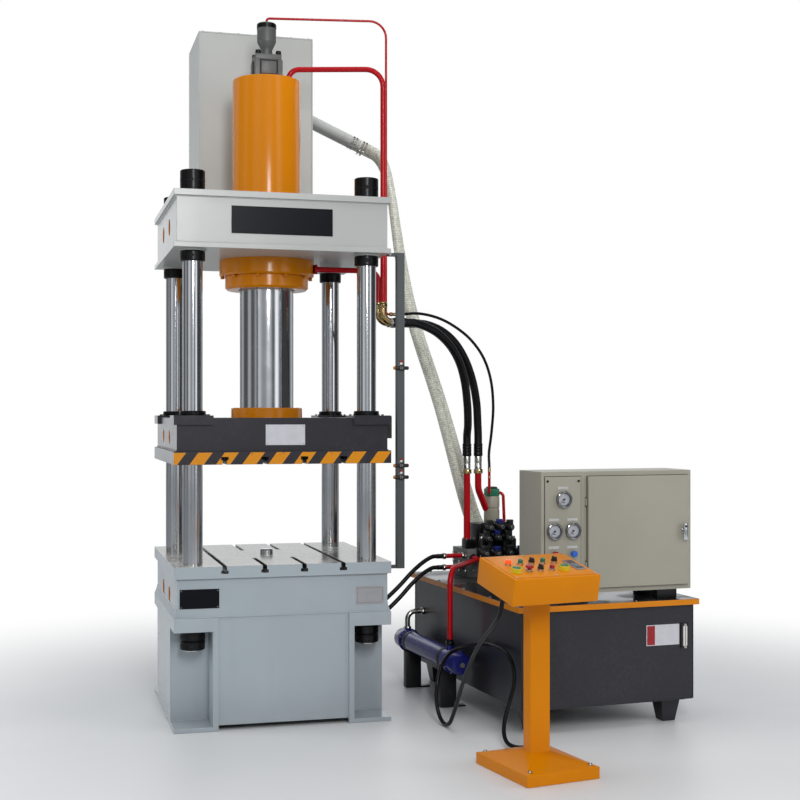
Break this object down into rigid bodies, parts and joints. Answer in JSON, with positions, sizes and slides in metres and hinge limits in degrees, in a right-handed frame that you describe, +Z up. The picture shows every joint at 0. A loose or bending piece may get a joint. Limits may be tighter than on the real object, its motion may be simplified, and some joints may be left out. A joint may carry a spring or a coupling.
{
  "type": "four-column hydraulic press",
  "caption": "Four-column hydraulic press with slotted table and slide, top cylinder and prefill tank, joined by hoses to a tank-mounted power unit and a control pedestal.",
  "frame": {"origin": "on the floor, at the middle of the footprint of the press, its power unit and its pedestal", "axes": "+Z up along the columns; the press faces -Y; the power unit stands at the press's right, towards +X"},
  "size_m": [2.5974, 2.7634, 3.7046],
  "materials": {
    "base_grey": "gloss light grey paint",
    "crown_grey": "gloss light grey paint",
    "charcoal": "gloss dark grey paint",
    "orange": "gloss orange paint",
    "machined_steel": "ground steel",
    "chrome": "hard chrome",
    "latch_chrome": "bright chrome",
    "black_steel": "blackened",
    "valve_steel": "zinc plated",
    "pipe_red": "gloss dark red paint",
    "cabinet_grey": "satin grey paint",
    "panel_grey": "satin grey paint",
    "cooler_blue": "gloss blue paint",
    "motor_blue": "satin blue paint",
    "black_plastic": "satin",
    "green_plastic": "gloss",
    "red_plastic": "gloss",
    "blue_plastic": "gloss",
    "black_hose": "satin",
    "clear_hose": "clear with wire"
  },
  "bodies": {
    "frame": {"base_frame": "base_grey", "bolster_plate": "machined_steel", "column_front_left": "chrome", "column_front_right": "chrome", "column_back_left": "chrome", "column_back_right": "chrome", "top_nut_front_left": "black_steel", "top_nut_front_right": "black_steel", "top_nut_back_left": "black_steel", "top_nut_back_right": "black_steel", "crown": "crown_grey", "cylinder_barrel": "orange", "gland_ring": "orange", "prefill_valve": "valve_steel", "prefill_tank": "crown_grey", "prefill_cover": "crown_grey", "pilot_pipe": "pipe_red", "pressure_pipe": "pipe_red", "return_pipe": "pipe_red", "ejector_cylinder": "black_steel", "switch_rail": "valve_steel", "oil_tank": "charcoal", "level_gauge": "black_plastic", "tank_lid": "orange", "cabinet": "cabinet_grey", "gauge_panel": "panel_grey", "valve_manifold": "black_steel", "pump_motor": "motor_blue", "oil_cooler": "cooler_blue", "cooler_pipe": "pipe_red", "pedestal_stand": "orange", "control_box": "orange", "pressure_hose": "black_hose", "return_hose": "black_hose", "pilot_hose": "black_hose", "fill_hose_front": "clear_hose", "fill_hose_back": "clear_hose", "ejector_hose_upper": "black_hose", "ejector_hose_lower": "black_hose", "pedestal_cable": "black_hose"},
    "slide_and_ram": {"slide": "charcoal", "ram": "chrome", "ram_flange": "orange"},
    "ejector": {"ejector_rod": "chrome"},
    "cabinet_door": {"cabinet_door": "cabinet_grey"},
    "door_latch": {"door_latch": "latch_chrome"},
    "gauge_needle_1": {"gauge_needle_1": "black_plastic"},
    "gauge_needle_2": {"gauge_needle_2": "black_plastic"},
    "gauge_needle_3": {"gauge_needle_3": "black_plastic"},
    "red_adjusting_knob": {"red_adjusting_knob": "red_plastic"},
    "blue_adjusting_knob": {"blue_adjusting_knob": "blue_plastic"},
    "palm_button_left": {"palm_button_left": "green_plastic"},
    "palm_button_right": {"palm_button_right": "green_plastic"},
    "green_button_1": {"green_button_1": "green_plastic"},
    "green_button_2": {"green_button_2": "green_plastic"},
    "red_button": {"red_button": "red_plastic"},
    "mushroom_stop": {"mushroom_stop": "red_plastic"},
    "selector_1": {"selector_1": "black_plastic"},
    "selector_2": {"selector_2": "black_plastic"},
    "selector_3": {"selector_3": "black_plastic"}
  },
  "joints": [
    {"name": "slide_travel", "type": "slide", "parent": "frame", "child": "slide_and_ram", "axis": [0, 0, 1], "range_m": [-0.45, 0.45]},
    {"name": "ejector_travel", "type": "slide", "parent": "frame", "child": "ejector", "axis": [0, 0, 1], "range_m": [0, 0.15]},
    {"name": "door_hinge", "type": "hinge", "parent": "frame", "child": "cabinet_door", "pos_m": [0.69411, -0.45234, 0.6756], "axis": [0, 0, -1], "range_deg": [0, 110]},
    {"name": "latch_turn", "type": "hinge", "parent": "cabinet_door", "child": "door_latch", "pos_m": [1.22889, -0.41619, 0.9781], "axis": [-0.068, 0.9977, 0], "range_deg": [0, 90]},
    {"name": "needle_1_turn", "type": "hinge", "parent": "frame", "child": "gauge_needle_1", "pos_m": [0.56167, -0.45766, 1.1436], "axis": [-0.068, 0.9977, 0], "range_deg": [0, 270]},
    {"name": "needle_2_turn", "type": "hinge", "parent": "frame", "child": "gauge_needle_2", "pos_m": [0.51128, -0.4611, 0.9876], "axis": [-0.068, 0.9977, 0], "range_deg": [0, 270]},
    {"name": "needle_3_turn", "type": "hinge", "parent": "frame", "child": "gauge_needle_3", "pos_m": [0.61205, -0.45423, 0.9876], "axis": [-0.068, 0.9977, 0], "range_deg": [0, 270]},
    {"name": "red_knob_turn", "type": "hinge", "parent": "frame", "child": "red_adjusting_knob", "pos_m": [0.5106, -0.45112, 0.8756], "axis": [-0.068, 0.9977, 0], "range_deg": [-170, 170]},
    {"name": "blue_knob_turn", "type": "hinge", "parent": "frame", "child": "blue_adjusting_knob", "pos_m": [0.61137, -0.44425, 0.8756], "axis": [-0.068, 0.9977, 0], "range_deg": [-170, 170]},
    {"name": "palm_button_left_push", "type": "slide", "parent": "frame", "child": "palm_button_left", "axis": [-0.0361, 0.2048, -0.9781], "range_m": [0, 0.006], "stiffness_N_per_m": 800, "springref_m": -0.003},
    {"name": "palm_button_right_push", "type": "slide", "parent": "frame", "child": "palm_button_right", "axis": [-0.0361, 0.2048, -0.9781], "range_m": [0, 0.006], "stiffness_N_per_m": 800, "springref_m": -0.003},
    {"name": "green_button_1_push", "type": "slide", "parent": "frame", "child": "green_button_1", "axis": [-0.0361, 0.2048, -0.9781], "range_m": [0, 0.004], "stiffness_N_per_m": 500, "springref_m": -0.002},
    {"name": "green_button_2_push", "type": "slide", "parent": "frame", "child": "green_button_2", "axis": [-0.0361, 0.2048, -0.9781], "range_m": [0, 0.004], "stiffness_N_per_m": 500, "springref_m": -0.002},
    {"name": "red_button_push", "type": "slide", "parent": "frame", "child": "red_button", "axis": [-0.0361, 0.2048, -0.9781], "range_m": [0, 0.004], "stiffness_N_per_m": 500, "springref_m": -0.002},
    {"name": "mushroom_stop_push", "type": "slide", "parent": "frame", "child": "mushroom_stop", "axis": [-0.0361, 0.2048, -0.9781], "range_m": [0, 0.006]},
    {"name": "selector_1_turn", "type": "hinge", "parent": "frame", "child": "selector_1", "pos_m": [0.11788, -1.17251, 0.91426], "axis": [0.0361, -0.2048, 0.9781], "range_deg": [-45, 45]},
    {"name": "selector_2_turn", "type": "hinge", "parent": "frame", "child": "selector_2", "pos_m": [0.23015, -1.15271, 0.91426], "axis": [0.0361, -0.2048, 0.9781], "range_deg": [-45, 45]},
    {"name": "selector_3_turn", "type": "hinge", "parent": "frame", "child": "selector_3", "pos_m": [0.12563, -1.26252, 0.89513], "axis": [0.0361, -0.2048, 0.9781], "range_deg": [-45, 45]}
  ]
}
